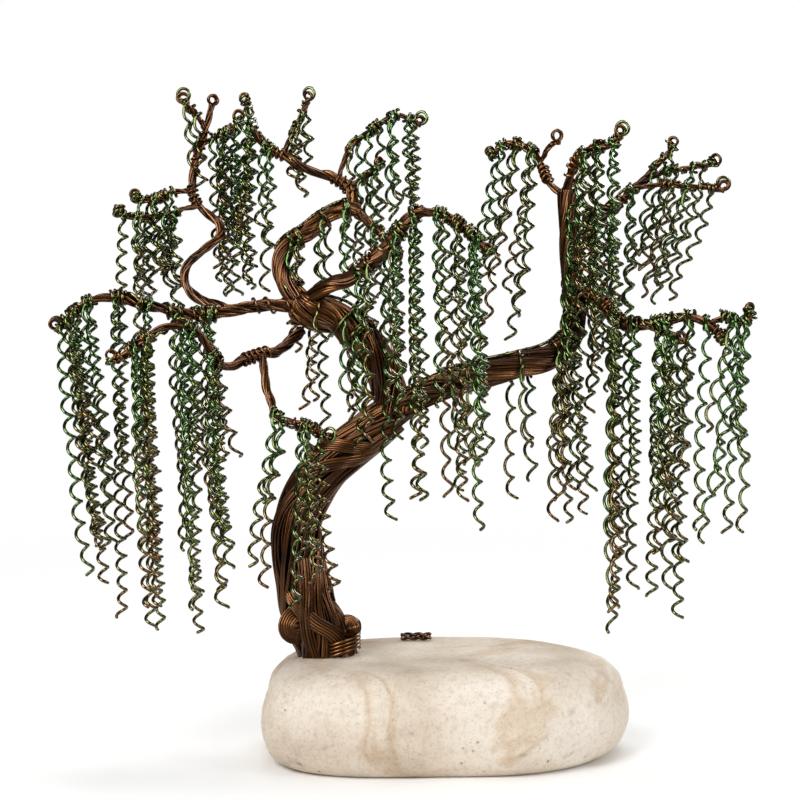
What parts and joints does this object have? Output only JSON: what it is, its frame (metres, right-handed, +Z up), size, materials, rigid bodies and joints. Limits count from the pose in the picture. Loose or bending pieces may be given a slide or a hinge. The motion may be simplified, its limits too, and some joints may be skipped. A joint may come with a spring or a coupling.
{
  "type": "wire tree sculpture",
  "caption": "Weeping willow twisted from brown enamelled wire, hung with curled green wires, standing on a pale rounded stone",
  "frame": {"origin": "middle of the stone's flat underside, on the surface that it stands on", "axes": "+Z up, +X along the stone towards the right-hand side of the crown, -Y the front"},
  "size_m": [0.2063, 0.0794, 0.2015],
  "materials": {
    "stone": "pale cream limestone, lightly tumbled, matt",
    "brown_wire": "dark brown enamelled craft wire, glossy",
    "green_wire": "dark green enamelled craft wire, glossy"
  },
  "bodies": {
    "root": {"stone_base": "stone", "stone_offcut": "brown_wire", "trunk": "brown_wire", "limb_left": "brown_wire", "limb_right": "brown_wire", "limb_crown": "brown_wire", "limb_front": "brown_wire", "loop_inner": "brown_wire", "spray_front": "brown_wire", "bough_left": "brown_wire", "bough_rising": "brown_wire", "bough_low": "brown_wire", "twig_droop": "brown_wire", "crest": "brown_wire", "arch_right": "brown_wire", "arch_crown": "brown_wire", "bough_back": "brown_wire", "bough_right": "brown_wire", "curls_left_tip": "green_wire", "curls_left": "green_wire", "curls_low": "green_wire", "curls_droop": "green_wire", "curls_left_lower": "green_wire", "curls_left_upper": "green_wire", "curls_rising_tip": "green_wire", "curls_rising_right": "green_wire", "curls_crest": "green_wire", "curls_crest_left": "green_wire", "curls_crest_back": "green_wire", "curls_crest_mid": "green_wire", "curls_crest_tip": "green_wire", "curls_hub": "green_wire", "curls_crown": "green_wire", "curls_front": "green_wire", "curls_spray": "green_wire", "curls_arch_right": "green_wire", "curls_arch_crown": "green_wire", "curls_limb_upper": "green_wire", "curls_limb_low": "green_wire", "curls_back": "green_wire", "curls_back_a": "green_wire", "curls_back_b": "green_wire", "curls_back_c": "green_wire", "curls_right": "green_wire", "curls_right_tip": "green_wire", "curls_right_low": "green_wire", "curls_loop": "green_wire"}
  },
  "joints": []
}
